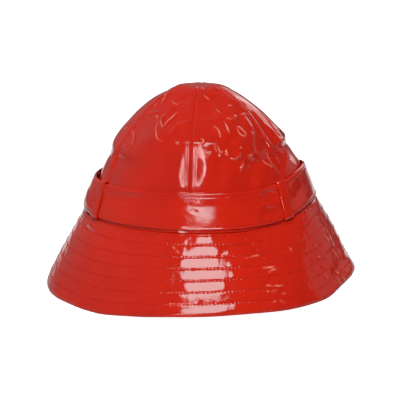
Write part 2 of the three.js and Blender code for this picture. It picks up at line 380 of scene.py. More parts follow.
def onSurface(tree, x, y):
    start = camera.location / mm
    found = tree.ray_cast(start, photoRay(x, y))[0]
    if found is None:
        found = tree.find_nearest(start + photoRay(x, y) * cameraSpec["distance"])[0]
    return np.array(found)


def frontTree(section, fromAngle, toAngle, rows):
    # the side of a surface that the camera sees, one degree apart, to place creases on
    angle = np.linspace(fromAngle, toAngle, toAngle - fromAngle + 1)[None, :]
    along = rows[:, None] + 0 * angle
    return surfaceTree(surface(section, angle + 0 * along, along))


creaseShape = {
    "step": 1.0,              # between the points of a crease's line, in millimetres
    "swaySize": 4.5,          # a crease's line swings to its sides over about this length
    "swaySeeds": (71, 72, 73),
    "reach": 3.0,             # how many of its widths a crease is felt over
    "fadePower": 0.6,
    "glintBreakSize": 6.0,          # the painted highlight along ridges breaks up over about this length
    "glintBreakSeed": 74,
    "glintBreakSpread": 0.8,
    "dentDepth": 40.0,        # how far a dent reaches away from the camera
}


def photoLine(tree, places):
    # a smooth line on the surface through the places of the photo, in even steps
    points = np.array([onSurface(tree, x, y) for x, y in places])
    if len(points) > 2:
        points = smoothPath(points, 12)
    lengths = lengthsAlong(points)
    even = np.linspace(0, lengths[-1], max(2, int(lengths[-1] / creaseShape["step"]) + 1))
    return placesAt(points, lengths, even)


def addCreases(points, tree, creases, cloth):
    # each crease is a ridge (height over 0) or a fold (under 0) that fades at its ends;
    # a pale painted highlight is laid along the narrow ridges
    shape = creaseShape
    flat = points.reshape(-1, 3)
    total = np.zeros(len(flat))
    glintPaint = np.zeros(len(flat))
    for crease in creases:
        line = photoLine(tree, crease["places"])
        sway = [spaceNoise(line, shape["swaySize"], seed) for seed in shape["swaySeeds"]]
        line = line + cloth["waviness"] * np.stack(sway, axis=1)
        reach = crease["width"] * shape["reach"]
        inside = (flat > line.min(0) - reach) & (flat < line.max(0) + reach)
        near = np.nonzero(np.all(inside, axis=1))[0]
        if len(near) == 0:
            continue
        best = np.full(len(near), 1e9)
        place = np.zeros(len(near))
        for i in range(len(line) - 1):
            a, b = line[i], line[i + 1]
            offset = flat[near] - a
            span = b - a
            t = np.clip(offset @ span / (span @ span), 0, 1)
            distance = np.linalg.norm(offset - t[:, None] * span, axis=1)
            closer = distance < best
            best = np.where(closer, distance, best)
            place = np.where(closer, (i + t) / (len(line) - 1), place)
        fade = np.sin(np.pi * np.clip(place, 0, 1)) ** shape["fadePower"]
        total[near] += crease["height"] * fade * bump(best, crease["width"])
        # painted highlight along the narrow ridges
        if crease["height"] > 0 and crease["width"] < cloth["glintWidth"]:
            spots = spaceNoise(flat[near], shape["glintBreakSize"], shape["glintBreakSeed"])
            broken = np.clip(1.0 + shape["glintBreakSpread"] * spots, 0, 1)
            pale = fade * broken * bump(best, cloth["glintHalf"])
            glintPaint[near] = np.maximum(glintPaint[near], pale)
    return total.reshape(points.shape[:-1]), glintPaint.reshape(points.shape[:-1])


def addDents(points, tree, dents):
    # round or long hollows and swells, centred on a place of the photo
    total = np.zeros(points.shape[:-1])
    for dent in dents:
        centre = onSurface(tree, dent["x"], dent["y"])
        offset = points - centre
        lean = math.radians(dent["lean"])
        across = np.array(acrossView * math.cos(lean) + upView * math.sin(lean))
        upward = np.array(upView * math.cos(lean) - acrossView * math.sin(lean))
        u = offset @ across / dent["wide"]
        v = offset @ upward / dent["high"]
        w = offset @ np.array(toCamera) / creaseShape["dentDepth"]
        total += dent["height"] * np.exp(-u ** 2 - v ** 2 - w ** 2)
    return total


# Meshes

def gridNormals(points, closedRound):
    along = np.gradient(points, axis=0)
    if closedRound:
        padded = np.concatenate([points[:, -1:], points, points[:, :1]], axis=1)
        sideways = np.gradient(padded, axis=1)[:, 1:-1]
    else:
        sideways = np.gradient(points, axis=1)
    normal = np.cross(sideways, along)
    return normal / np.maximum(np.linalg.norm(normal, axis=-1, keepdims=True), 1e-9)


def gridFaces(rows, columns, start, closedRound, flip=False):
    r = np.arange(rows - 1)[:, None]
    c = np.arange(columns if closedRound else columns - 1)[None, :]
    a = start + r * columns + c
    b = start + r * columns + (c + 1) % columns
    d = a + columns
    e = b + columns
    faces = np.stack([a, b, e, d] if not flip else [a, d, e, b], axis=-1)
    return faces.reshape(-1, 4)


def bridgeFaces(fine, coarse, flip=False):
    # joins a fine edge to a coarse one whose points are a whole number apart
    ratio = (len(fine) - 1) // (len(coarse) - 1)
    faces = []
    for i in range(len(coarse) - 1):
        start = i * ratio
        middle = start + ratio // 2
        for j in range(start, middle):
            faces.append((fine[j], fine[j + 1], coarse[i]))
        faces.append((fine[middle], coarse[i + 1], coarse[i]))
        for j in range(middle, start + ratio):
            faces.append((fine[j], fine[j + 1], coarse[i + 1]))
    faces = np.array(faces)
    return faces[:, ::-1] if flip else faces


def makeObject(name, points, faceSets, materials, faceMaterial=None, sharp=50.0):
    # faceSets holds arrays of triangles or of quads
    points = np.asarray(points) * mm
    corners = np.concatenate([faces.ravel() for faces in faceSets])
    sides = np.concatenate([np.full(len(faces), faces.shape[1]) for faces in faceSets])
    mesh = bpy.data.meshes.new(name)
    mesh.vertices.add(len(points))
    mesh.vertices.foreach_set("co", points.ravel())
    mesh.loops.add(len(corners))
    mesh.loops.foreach_set("vertex_index", corners.astype(np.int32))
    mesh.polygons.add(len(sides))
    mesh.polygons.foreach_set("loop_start", (np.cumsum(sides) - sides).astype(np.int32))
    for material in materials:
        mesh.materials.append(material)
    if faceMaterial is not None:
        mesh.polygons.foreach_set("material_index", np.asarray(faceMaterial, dtype=np.int32))
    mesh.polygons.foreach_set("use_smooth", np.ones(len(sides), dtype=bool))
    mesh.update(calc_edges=True)
    mesh.validate()
    mesh.set_sharp_from_angle(angle=math.radians(sharp))
    obj = bpy.data.objects.new(name, mesh)
    bpy.context.scene.collection.objects.link(obj)
    return obj


def shellObject(name, outer, inner, closedRound, materials, glintPaint=None):
    # closed cloth with a fine outer face and a coarser inner one, each of its own material
    rows, columns = outer.shape[:2]
    innerRows, innerColumns = inner.shape[:2]
    innerStart = rows * columns
    outerFaces = gridFaces(rows, columns, 0, closedRound)
    innerFaces = gridFaces(innerRows, innerColumns, innerStart, closedRound, flip=True)

    def edgeRow(first, count):
        row = [first + c for c in range(count)]
        return row + row[:1] if closedRound else row

    lastOuter = edgeRow((rows - 1) * columns, columns)
    lastInner = edgeRow(innerStart + (innerRows - 1) * innerColumns, innerColumns)
    edges = [bridgeFaces(edgeRow(0, columns), edgeRow(innerStart, innerColumns), flip=True),
             bridgeFaces(lastOuter, lastInner)]
    if not closedRound:
        for c, ic, flip in ((0, 0, False), (columns - 1, innerColumns - 1, True)):
            fine = [r * columns + c for r in range(rows)]
            coarse = [innerStart + r * innerColumns + ic for r in range(innerRows)]
            edges.append(bridgeFaces(fine, coarse, flip))
    edges = np.vstack(edges)
    kinds = np.repeat([0, 1, 0], [len(outerFaces), len(innerFaces), len(edges)])
    points = np.vstack([outer.reshape(-1, 3), inner.reshape(-1, 3)])
    obj = makeObject(name, points, [outerFaces, innerFaces, edges], materials, kinds)
    # the painted highlight along crease ridges, on the outer face's points
    glintAttribute = obj.data.attributes.new("paintedCreaseGlint", "FLOAT", "POINT")
    values = np.zeros(len(points), dtype=np.float32)
    if glintPaint is not None:
        values[:innerStart] = glintPaint.ravel()
    glintAttribute.data.foreach_set("value", values)
    return obj


stitchShape = {
    "sides": 6,
    "stations": [(-0.5, 0.0), (-0.42, 0.62), (-0.2, 1.0), (0.2, 1.0), (0.42, 0.62), (0.5, 0.0)],
    "flatness": 0.8,
    "unevenness": 0.08,
    "turnReach": 0.4,         # millimetres of the line each side that give its direction
}


def stitchTemplate(sides, stations):
    # one stitch: a short rounded grain, from -0.5 to 0.5 along X
    points = []
    for x, size in stations[1:-1]:
        for k in range(sides):
            a = 2 * math.pi * k / sides
            points.append((x, size * math.cos(a), size * math.sin(a)))
    first = len(points)
    points.append((stations[0][0], 0.0, 0.0))
    points.append((stations[-1][0], 0.0, 0.0))
    quads = []
    ends = []
    rings = len(stations) - 2
    for r in range(rings - 1):
        for k in range(sides):
            a = r * sides + k
            b = r * sides + (k + 1) % sides
            quads.append((a, b, b + sides, a + sides))
    for k in range(sides):
        b = (k + 1) % sides
        ends.append((first, b, k))
        ends.append((first + 1, (rings - 1) * sides + k, (rings - 1) * sides + b))
    return np.array(points), np.array(quads), np.array(ends)


stitchPoints, stitchQuads, stitchEnds = stitchTemplate(stitchShape["sides"], stitchShape["stations"])


def evenLine(points, normals, pitch, closed):
    # places and frames at an even pitch along a line that lies on the cloth
    if closed:
        points = np.vstack([points, points[:1]])
        normals = np.vstack([normals, normals[:1]])
    lengths = lengthsAlong(points)
    count = max(1, int(round(lengths[-1] / pitch)))
    at = (np.arange(count) + 0.5) * lengths[-1] / count
    centre = placesAt(points, lengths, at)
    reach = stitchShape["turnReach"]
    ahead = placesAt(points, lengths, np.minimum(at + reach, lengths[-1]))
    behind = placesAt(points, lengths, np.maximum(at - reach, 0))
    tangent = ahead - behind
    tangent /= np.linalg.norm(tangent, axis=1, keepdims=True)
    normal = placesAt(normals, lengths, at)
    side = np.cross(normal, tangent)
    side /= np.linalg.norm(side, axis=1, keepdims=True)
    normal = np.cross(tangent, side)
    return centre, tangent, side, normal


def stitchObject(name, rows, spec, material):
    # all the stitches of some rows as one piece of thread
    allPoints = []
    generator = np.random.default_rng(spec["seed"])
    sag = -spec["sink"] * (stitchPoints[:, 0] * 2) ** 4
    size = (spec["length"], spec["radius"], spec["radius"] * stitchShape["flatness"])
    grain = stitchPoints * np.array(size)
    for points, normals, closed in rows:
        centre, tangent, side, normal = evenLine(points, normals, spec["pitch"], closed)
        wobble = generator.normal(0, 1, (len(centre), 3))
        centre = centre + side * wobble[:, :1] * spec["wobble"]
        centre = centre + normal * spec["proud"]
        length = 1 + stitchShape["unevenness"] * wobble[:, 1:2]
        allPoints.append(centre[:, None, :]
                         + (length * grain[:, 0])[..., None] * tangent[:, None, :]
                         + grain[:, 1][None, :, None] * side[:, None, :]
                         + (grain[:, 2] + sag)[None, :, None] * normal[:, None, :])
    placed = np.concatenate(allPoints)
    first = np.arange(len(placed))[:, None, None] * len(stitchPoints)
    quads = (stitchQuads[None] + first).reshape(-1, 4)
    ends = (stitchEnds[None] + first).reshape(-1, 3)
    return makeObject(name, placed.reshape(-1, 3), [quads, ends], [material], sharp=180.0)


# Materials

def setInputs(tree, node, inputs):
    # each input gets a plain value, or another node's output
    for name, value in inputs.items():
        if isinstance(value, bpy.types.NodeSocket):
            tree.links.new(value, node.inputs[name])
        else:
            node.inputs[name].default_value = value


def addNode(tree, kind, inputs, **settings):
    node = tree.nodes.new("ShaderNode" + kind)
    for name, value in settings.items():
        setattr(node, name, value)
    setInputs(tree, node, inputs)
    return node


def newMaterial(name):
    material = bpy.data.materials.new(name)
    material.use_nodes = True
    tree = material.node_tree
    return material, tree, tree.nodes["Principled BSDF"]


def objectPlace(tree):
    return addNode(tree, "TexCoord", {}).outputs["Object"]


def objectNoise(tree, scale, detail=2.0):
    noise = addNode(tree, "TexNoise", {"Vector": objectPlace(tree), "Scale": scale, "Detail": detail})
    return noise.outputs["Fac"]


def mapped(tree, value, low, high, toLow=0.0, toHigh=1.0):
    node = addNode(tree, "MapRange", {"Value": value, "From Min": low, "From Max": high,
                                      "To Min": toLow, "To Max": toHigh})
    return node.outputs["Result"]


def product(tree, a, b):
    return addNode(tree, "Math", {0: a, 1: b}, operation="MULTIPLY").outputs["Value"]


def colourMix(tree, share, low, high):
    return addNode(tree, "Mix", {"Factor": share, "A": low, "B": high}, data_type="RGBA").outputs["Result"]


def shades(tree, share, colour, darkening):
    darker = [c * darkening for c in colour]
    return colourMix(tree, share, (*darker, 1), (*colour, 1))


def bumpFrom(tree, height, distance, strength=1.0, under=None):
    inputs = {"Height": height, "Distance": distance, "Strength": strength}
    if under is not None:
        inputs["Normal"] = under
    return addNode(tree, "Bump", inputs).outputs["Normal"]


vinylSpec = {
    "colour": (0.56, 0.015, 0.0045),
    "darker": (0.49, 0.0115, 0.0034),
    "glintColour": (0.90, 0.38, 0.25),
    "glintAmount": 0.85,
    "blotchScale": 22.0,
    "blotchRange": (0.3, 0.6),
    "roughness": 0.06,
    "roughest": 0.11,
    "glossScale": 160.0,
    "glossRange": (0.35, 0.75),
    "refraction": 1.55,
    "grainScale": 900.0,
    "grainDepth": 0.00004,
    "rippleScale": 110.0,
    "rippleDepth": 0.00009,
}


def makeVinyl(spec):
    material, tree, shader = newMaterial("glossy_red_coating")
    blotch = mapped(tree, objectNoise(tree, spec["blotchScale"], 3.0), *spec["blotchRange"])
    colour = colourMix(tree, blotch, (*spec["darker"], 1), (*spec["colour"], 1))
    # painted highlight: pale colour along the narrow crease ridges, standing in for the glints they catch
    glintPaint = addNode(tree, "Attribute", {}, attribute_name="paintedCreaseGlint").outputs["Fac"]
    glintShare = product(tree, glintPaint, spec["glintAmount"])
    gloss = mapped(tree, objectNoise(tree, spec["glossScale"]), *spec["glossRange"],
                   spec["roughness"], spec["roughest"])
    ripple = bumpFrom(tree, objectNoise(tree, spec["rippleScale"]), spec["rippleDepth"])
    grain = bumpFrom(tree, objectNoise(tree, spec["grainScale"]), spec["grainDepth"], under=ripple)
    setInputs(tree, shader, {
        "Base Color": colourMix(tree, glintShare, colour, (*spec["glintColour"], 1)),
        "Roughness": gloss,
        "IOR": spec["refraction"],
        "Normal": grain,
    })
    return material


threadSpec = {
    "colour": (0.53, 0.014, 0.004),
    "darkening": 0.8,
    "roughness": 0.5,
    "specular": 0.12,
    "twistScale": 1400.0,
    "twistDepth": 0.0001,
}


def makeThread(spec):
    material, tree, shader = newMaterial("red_thread")
    fibre = objectNoise(tree, spec["twistScale"])
    setInputs(tree, shader, {
        "Base Color": shades(tree, fibre, spec["colour"], spec["darkening"]),
        "Roughness": spec["roughness"],
        "Specular IOR Level": spec["specular"],
        "Normal": bumpFrom(tree, fibre, spec["twistDepth"], 0.6),
    })
    return material


backingSpec = {
    "colour": (0.36, 0.012, 0.010),
    "darkening": 0.6,
    "roughness": 0.85,
    "waveScale": 2200.0 / 6.0,      # threads to the metre, as the wave texture counts them
    "unevenness": 0.6,
    "weaveDepth": 0.0002,
}


def makeBacking(spec):
    # matt knitted back of the coated cloth, seen only inside the crown
    material, tree, shader = newMaterial("knitted_backing")
    split = addNode(tree, "SeparateXYZ", {"Vector": objectPlace(tree)})
    waves = []
    for along, across in (("Z", "X"), ("X", "Y")):
        plane = addNode(tree, "CombineXYZ", {"X": split.outputs[along], "Y": split.outputs[across]})
        wave = addNode(tree, "TexWave", {"Vector": plane.outputs["Vector"], "Scale": spec["waveScale"],
                                         "Distortion": spec["unevenness"]})
        waves.append(wave.outputs["Fac"])
    weave = product(tree, *waves)
    setInputs(tree, shader, {
        "Base Color": shades(tree, weave, spec["colour"], spec["darkening"]),
        "Roughness": spec["roughness"],
        "Normal": bumpFrom(tree, weave, spec["weaveDepth"], 0.5),
    })
    return material


vinyl = makeVinyl(vinylSpec)
thread = makeThread(threadSpec)
backing = makeBacking(backingSpec)
print("rain hat: materials made")


def dressed(obj, slot, *nodes):
    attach(obj, "root")
    if nodes:
        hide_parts(*nodes)


# Crown

crownCloth = {
    "fineColumns": 200,
    "fineRows": 270,
    "coarseColumns": 100,
    "coarseRows": 120,
    "innerColumns": 25,
    "innerRows": 30,
    "crowding": 0.035,        # brings the columns closer together at the seams
    "edgeMargin": 0.04,       # half the slit at a seam
    "valleyDepth": 0.55,
    "valleyWidth": 0.9,
    "allowanceHeight": 0.16,  # the cloth turned in under each topstitch row
    "topstitch": 3.1,         # from the seam to its topstitch row
    "allowanceEnd": (0.4, 2.0),   # beyond the row, where the turned-in cloth ends
    "rowDepth": 0.13,
    "rowWidth": 0.7,
    "puckerHeight": 0.2,
    "puckerSize": 5.5,
    "puckerAt": 3.0,
    "puckerReach": 5.0,
    "puckerRest": 0.03,       # what stays of the puckers where the cloth is calm
    "foldHeight": 0.5,
    "foldSize": 34.0,
    "rippleHeight": 0.12,
    "rippleSize": 13.0,
    "crumpleSize": 17.0,
    "crumpleTilt": 0.075,
    "crispness": 5.0,
    "tipLift": 1.3,
    "tipFill": 1.1,           # flattens the top round the tip
    "tipFillAt": 17.0,
    "tipFillReach": 9.0,
    "tipDip": 0.3,
    # millimetres from a seam over which these begin
    "foldStart": (2.0, 9.0),
    "crumpleStart": (1.5, 6.0),
    "creaseStart": (0.5, 2.5),
    "dentStart": (0.0, 4.0),
    # shares of the way up over which the tip is lifted, and crumples and the rest end
    "tipStart": (0.76, 0.9),
    "crumpleEnd": (0.84, 0.97),
    "reliefEnd": (0.86, 0.99),
    "calmPanels": {"side_left": 0.3},
    "innerGap": 0.4,          # keeps the backing clear of the deepest folds
    # how crumpled the cloth is: everywhere, behind, and at places in the photo
    "crumpleRest": 0.25,
    "crumpleBehind": 0.45,
    "crumpleThere": 0.9,
    "crumplePlaces": table("x y reach", [
        (236, 128, 46), (170, 112, 26), (205, 105, 22), (262, 150, 24),
    ]),
    # where the cloth lies smooth: places in the photo, and reach in millimetres
    "calmPlaces": table("x y reach", [(193, 166, 26.0), (206, 149, 9.0), (177, 143, 7.0)]),
    "frontReach": (18.0, 48.0),   # degrees each side over which the upright front fades
    "frontFade": (0.66, 0.95),    # and the heights over which it falls back to the dome
    # how far the cloth leans back at the front: degrees by share of the height
    "lean": [(0.283, 7), (0.33, 10.5), (0.4, 12.5), (0.465, 14), (0.53, 15.5), (0.6, 17.5)],
    "frontTop": [(0.65, 19.2), (0.654, 42), (0.73, 46)],
    "middleTop": [(0.643, 19), (0.664, 42), (0.73, 46)],   # a rounder turn at its very middle
    "middleReach": (4.0, 7.0),
    "turnHeight": 0.655,      # the front's turn to the top, which sways a little
    "turnSway": 0.005,
    "turnSize": 4.2,
    "waviness": 0.35,
    "glintWidth": 1.45,        # ridges narrower than this get a pale painted highlight
    "glintHalf": 0.38,
}


def frontSwell(rows, fade):
    # what the upright front adds to the dome's radius, by height
    givenHeights, leans = zip(*rows)
    heights = np.linspace(givenHeights[0], 1.0, 400)
    lean = np.interp(heights, givenHeights, leans)
    step = (heights[1] - heights[0]) * crownSpec["height"]
    along = np.linspace(0, 1, 2000)
    domeRadius, domeHeight = crownSection(0.0 * along, along)
    dome = np.interp(heights, (domeHeight - brimSpec["height"]) / crownSpec["height"], domeRadius)
    front = dome[0] - np.concatenate([[0], np.cumsum(np.tan(np.radians(lean)) * step)[:-1]])
    swell = (front - dome) * (1 - smoothStep(heights, *fade))
    print("rain hat: front stands out by", round(float(swell.max()), 1), "mm")
    return heights, swell


frontHeights, frontOut = frontSwell(crownCloth["lean"] + crownCloth["frontTop"], crownCloth["frontFade"])
middleOut = frontSwell(crownCloth["lean"] + crownCloth["middleTop"], crownCloth["frontFade"])[1]

crownDents = table("x y wide high lean height", [
    (272, 146, 11, 19, 12, -1.8),
    (206, 108, 10, 10, 0, -0.7),
    (228, 134, 4, 16, 8, -1.0),
    (240, 118, 4, 16, 14, -0.9),
    (251, 120, 5, 14, 20, -0.9),
    (218, 175, 5, 17, -6, -1.0),
    (229, 182, 5, 12, 4, 0.5),
    (249, 182, 4, 12, -8, -0.9),
    (258, 172, 4, 10, 30, -0.8),
    (236, 172, 8, 14, -8, 0.5),
    (160, 165, 12, 22, 0, -0.4),
    (112, 178, 12, 9, -35, -1.6),
    (183, 108, 12, 7, 10, 0.6),
    (262, 181, 6, 4, 45, 0.6),
    (284, 126, 14, 12, 20, -2.2),
    (289, 136, 10, 6, 0, -1.8),
    (295, 152, 9, 8, 0, -1.0),
    (150, 101, 18, 13, 0, 1.0),
    (122, 161.5, 22, 9, 0, 1.6),
    (124, 166, 20, 12, 0, 1.4),
])

crownCreases = table("places width height", [
    ([(170, 93), (165, 99), (161, 105)], 1.4, 1.27),
    ([(158, 104), (155, 107)], 1.1, 0.89),
    ([(165, 110), (158, 112), (150, 113.5), (143, 112)], 1.9, 0.89),
    ([(157, 118), (158.5, 115.5), (161, 118)], 1.0, 0.89),
    ([(161, 120), (161, 127), (162, 133), (164, 138), (168, 139)], 1.2, 0.77),
    ([(168, 113), (165, 118), (165, 122), (167, 127)], 1.2, 1.41),
    ([(180, 111), (175, 117), (171, 121), (168, 125)], 1.2, 1.41),
    ([(195, 119), (188, 122), (181, 124), (177, 129), (174, 134)], 1.9, 1.16),
    ([(210, 100), (213, 107), (217, 113), (216, 117), (208, 119), (197, 120)], 1.5, 0.8),
    ([(203, 96), (209, 99)], 1.0, 0.89),
    ([(172, 101), (177, 103.5), (181, 101)], 1.0, 0.63),
    ([(133, 130), (134, 138), (133, 145), (129, 151)], 1.4, 1.1),
    ([(126, 127), (127, 135)], 1.4, 0.8),
    ([(124, 149), (131, 143)], 1.2, 0.77),
    ([(228, 106), (232, 106)], 1.0, 0.77),
    ([(224, 117), (228, 119), (232, 118), (235, 115)], 1.1, 1.02),
    ([(241, 114.5), (246, 113.5), (249, 115)], 1.0, 0.77),
    ([(234, 126), (240, 129), (245, 133)], 1.0, 1.02),
    ([(245, 133), (242, 135), (238, 133), (234, 127)], 1.0, 1.02),
    ([(212, 124), (216, 128), (218, 135)], 1.2, 1.16),
    ([(221, 121), (224, 127), (226, 132)], 1.0, 0.89),
    ([(213, 140), (216, 147), (219, 151), (220, 149)], 1.1, 1.41),
    ([(217, 155), (219, 153)], 1.0, 0.77),
    ([(204, 150), (208, 153), (210, 150)], 1.0, 0.89),
    ([(200, 136.5), (203, 138), (202, 141)], 1.0, 0.89),
    ([(224, 148), (225, 154)], 1.0, 0.89),
    ([(237, 146), (240, 148)], 1.0, 0.89),
    ([(238, 151), (237, 155), (234, 157.5), (229, 158)], 1.2, 1.41),
    ([(246, 157), (249, 155), (253, 160)], 1.2, 1.27),
    ([(241, 160), (240, 165), (238, 171)], 1.1, 0.89),
    ([(252, 131), (253, 138)], 1.6, 0.77),
    ([(267, 151), (270, 159), (273, 166)], 1.0, 0.77),
    ([(262, 160), (267, 165), (272, 168)], 1.1, 0.89),
    ([(258, 110), (268, 119), (279, 131), (287, 143)], 1.3, 0.6),
    ([(262, 120), (273, 129), (282, 140), (287, 152), (286, 163), (281, 178)], 1.5, 0.9),
    ([(266, 117), (277, 127), (286, 139), (291, 151)], 1.2, 0.4),
    ([(257, 127), (256, 142), (257, 156), (262, 166)], 2.0, -0.4),
])

crownTree = frontTree(crownSection, -100, 110, np.linspace(0, 0.995, 160))


def crownTip():
    # where the panels end, as narrow as the tip
    low, high = 0.5, 1.0
    for _ in range(24):
        middle = (low + high) / 2
        width = np.interp(middle, profileAlong, profilePoints[:, 0])
        if width * crownSpec["halfWidth"] > crownSpec["tipRadius"]:
            low = middle
        else:
            high = middle
    return low


tipAlong = crownTip()


def panelGrid(start, columns, rows):
    # base points of a panel, with each point's distance from its nearer seam
    spec = crownCloth
    along = np.linspace(0, tipAlong, rows + 1)[:, None]
    middleRadius = crownSection(start + 30.0, along)[0]
    margin = np.degrees(spec["edgeMargin"] / middleRadius)
    share = np.linspace(0, 1, columns + 1)[None, :]
    share = share - spec["crowding"] * np.sin(2 * np.pi * share)
    angle = start + margin + share * (60 - 2 * margin)
    radius, height = crownSection(angle, along + 0 * angle)
    points = ringPoints(angle, radius, height)
    fromSeam = np.radians(np.minimum(angle - start, start + 60 - angle)) * radius
    return points, fromSeam, angle, along + 0 * angle


def calmMask(points):
    # 0 where the cloth lies smooth, mostly at the front over the band
    mask = 1.0
    for row in crownCloth["calmPlaces"]:
        centre = onSurface(crownTree, row["x"], row["y"])
        mask = mask * (1 - bump(np.linalg.norm(points - centre, axis=-1), row["reach"]))
    return mask


def panelRelief(points, fromSeam, along, start, smooth, calm):
    # seams, topstitch rows, puckers and soft folds
    spec = crownCloth
    fromRow = fromSeam - spec["topstitch"]
    relief = -spec["valleyDepth"] * bump(fromSeam, spec["valleyWidth"])
    relief += spec["allowanceHeight"] * (1 - smoothStep(fromRow, *spec["allowanceEnd"]))
    relief -= spec["rowDepth"] * bump(fromRow, spec["rowWidth"])
    pucker = spec["puckerHeight"] * spaceNoise(points, spec["puckerSize"], start + 11)
    nearSeam = bump(fromSeam - spec["puckerAt"], spec["puckerReach"])
    relief += pucker * nearSeam * atLeast(spec["puckerRest"], smooth ** 2)
    offTip = 1 - smoothStep(along, *spec["reliefEnd"])
    away = smoothStep(fromSeam, *spec["foldStart"]) * smooth * calm * offTip
    relief += spec["foldHeight"] * spaceNoise(points, spec["foldSize"], 3) * away
    relief += spec["rippleHeight"] * spaceNoise(points, spec["rippleSize"], 5) * away
    return relief * offTip - (1 - offTip) * spec["tipDip"]


def frontShift(points, angle):
    # how far the upright front stands out of the dome, straight away from the axis
    spec = crownCloth
    side = np.abs(turn(angle, 0.0))
    height = (points[..., 2] - brimSpec["height"]) / crownSpec["height"]
    middle = 1 - smoothStep(side, *spec["middleReach"])
    sway = spaceNoise(np.stack([angle, 0 * angle, 0 * angle], axis=-1), spec["turnSize"], 77)
    height = height + spec["turnSway"] * sway * (1 - middle) * bump(height - spec["turnHeight"], 0.02)
    out = middle * np.interp(height, frontHeights, middleOut, left=0.0)
    out += (1 - middle) * np.interp(height, frontHeights, frontOut, left=0.0)
    out *= 1 - smoothStep(side, *spec["frontReach"])
    return ringPoints(angle, out, 0 * out) - np.array([0, axisY, 0])


def crumpleMask(points):
    # where the cloth is most crumpled: over the front, and on the back panels
    spec = crownCloth
    mask = spec["crumpleRest"] + 0 * points[..., 0]
    for row in spec["crumplePlaces"]:
        centre = onSurface(crownTree, row["x"], row["y"])
        distance = np.linalg.norm(points - centre, axis=-1)
        mask = mask + spec["crumpleThere"] * bump(distance, row["reach"])
    behind = smoothStep(points[..., 1], 0, 60)
    return np.clip(mask + spec["crumpleBehind"] * behind, 0, 1)


def panelInside(start):
    # the backing's face, its lowest row straight in from the edge of the cloth
    spec = crownCloth
    points = panelGrid(start, spec["innerColumns"], spec["innerRows"])[0]
    inner = points - gridNormals(points, False) * (crownSpec["wall"] + spec["innerGap"])
    radial = points[0] * np.array([1, 1, 0]) - np.array([0, axisY, 0])
    radial /= np.linalg.norm(radial, axis=1, keepdims=True)
    inner[0] = points[0] - radial * crownSpec["wall"]
    return inner


def makePanel(place, start, calm):
    spec = crownCloth
    mesh = "fine" if place.startswith("front") else "coarse"
    points, fromSeam, angle, along = panelGrid(start, spec[mesh + "Columns"], spec[mesh + "Rows"])
    smooth = calmMask(points)
    relief = panelRelief(points, fromSeam, along, start, smooth, calm)
    away = smoothStep(fromSeam, *spec["crumpleStart"]) * (1 - smoothStep(along, *spec["crumpleEnd"]))
    leaning = crumple(points, spec["crumpleSize"], 21, spec["crispness"], spec["crumpleTilt"])
    relief += leaning * crumpleMask(points) * away * smooth * calm
    glintPaint = None
    if not place.startswith("back"):
        ridges, glintPaint = addCreases(points, crownTree, crownCreases, spec)
        relief += ridges * smoothStep(fromSeam, *spec["creaseStart"])
        relief += addDents(points, crownTree, crownDents) * smoothStep(fromSeam, *spec["dentStart"])
    relief += spec["tipLift"] * smoothStep(along, *spec["tipStart"])
    fromAxis = np.hypot(points[..., 0], points[..., 1] - axisY)
    relief += spec["tipFill"] * bump(fromAxis - spec["tipFillAt"], spec["tipFillReach"])
    outer = points + gridNormals(points, False) * relief[..., None] + frontShift(points, angle)
    inner = panelInside(start)
    obj = shellObject("crown_panel_" + place + "_cloth", outer, inner, False, [vinyl, backing], glintPaint)
    dressed(obj, "coated_cloth", "crown_panel_" + place)


for place, start in panelStarts.items():
    makePanel(place, start, crownCloth["calmPanels"].get(place, 1.0))
print("rain hat: crown panels made")

crownStitches = {
    "pitch": 3.2,
    "length": 2.4,
    "radius": 0.3,
    "proud": 0.06,
    "sink": 0.3,
    "wobble": 0.08,
    "seed": 7,
    "shareBelow": 0.03,       # the rows end a little short of the seam and the tip
    "shareAbove": 0.965,
}


def seamRow(start, offset):
    # the topstitch row that follows one seam, offset in millimetres from it
    spec = crownStitches
    along = np.linspace(spec["shareBelow"], tipAlong * spec["shareAbove"], 160)
    radius = crownSection(start + 0 * along, along)[0]
    angle = start + np.degrees(offset / np.maximum(radius, 4.0))
    grid = np.stack([surface(crownSection, angle + beside, along) for beside in (-0.4, 0.0, 0.4)], axis=1)
    normals = gridNormals(grid, False)[:, 1]
    lift = crownCloth["allowanceHeight"] - crownCloth["rowDepth"]
    return grid[:, 1] + normals * lift, normals, False


seamRows = []
for start in panelStarts.values():
    for side in (-1, 1):
        seamRows.append(seamRow(start, side * crownCloth["topstitch"]))
dressed(stitchObject("crown_topstitching", seamRows, crownStitches, thread), "thread")


def nearestRow(outer, normals, places, place):
    # the line of one stitch row on the finished cloth, all the way round
    i = int(np.argmin(np.abs(places - place)))
    return outer[i], normals[i], True


# Brim

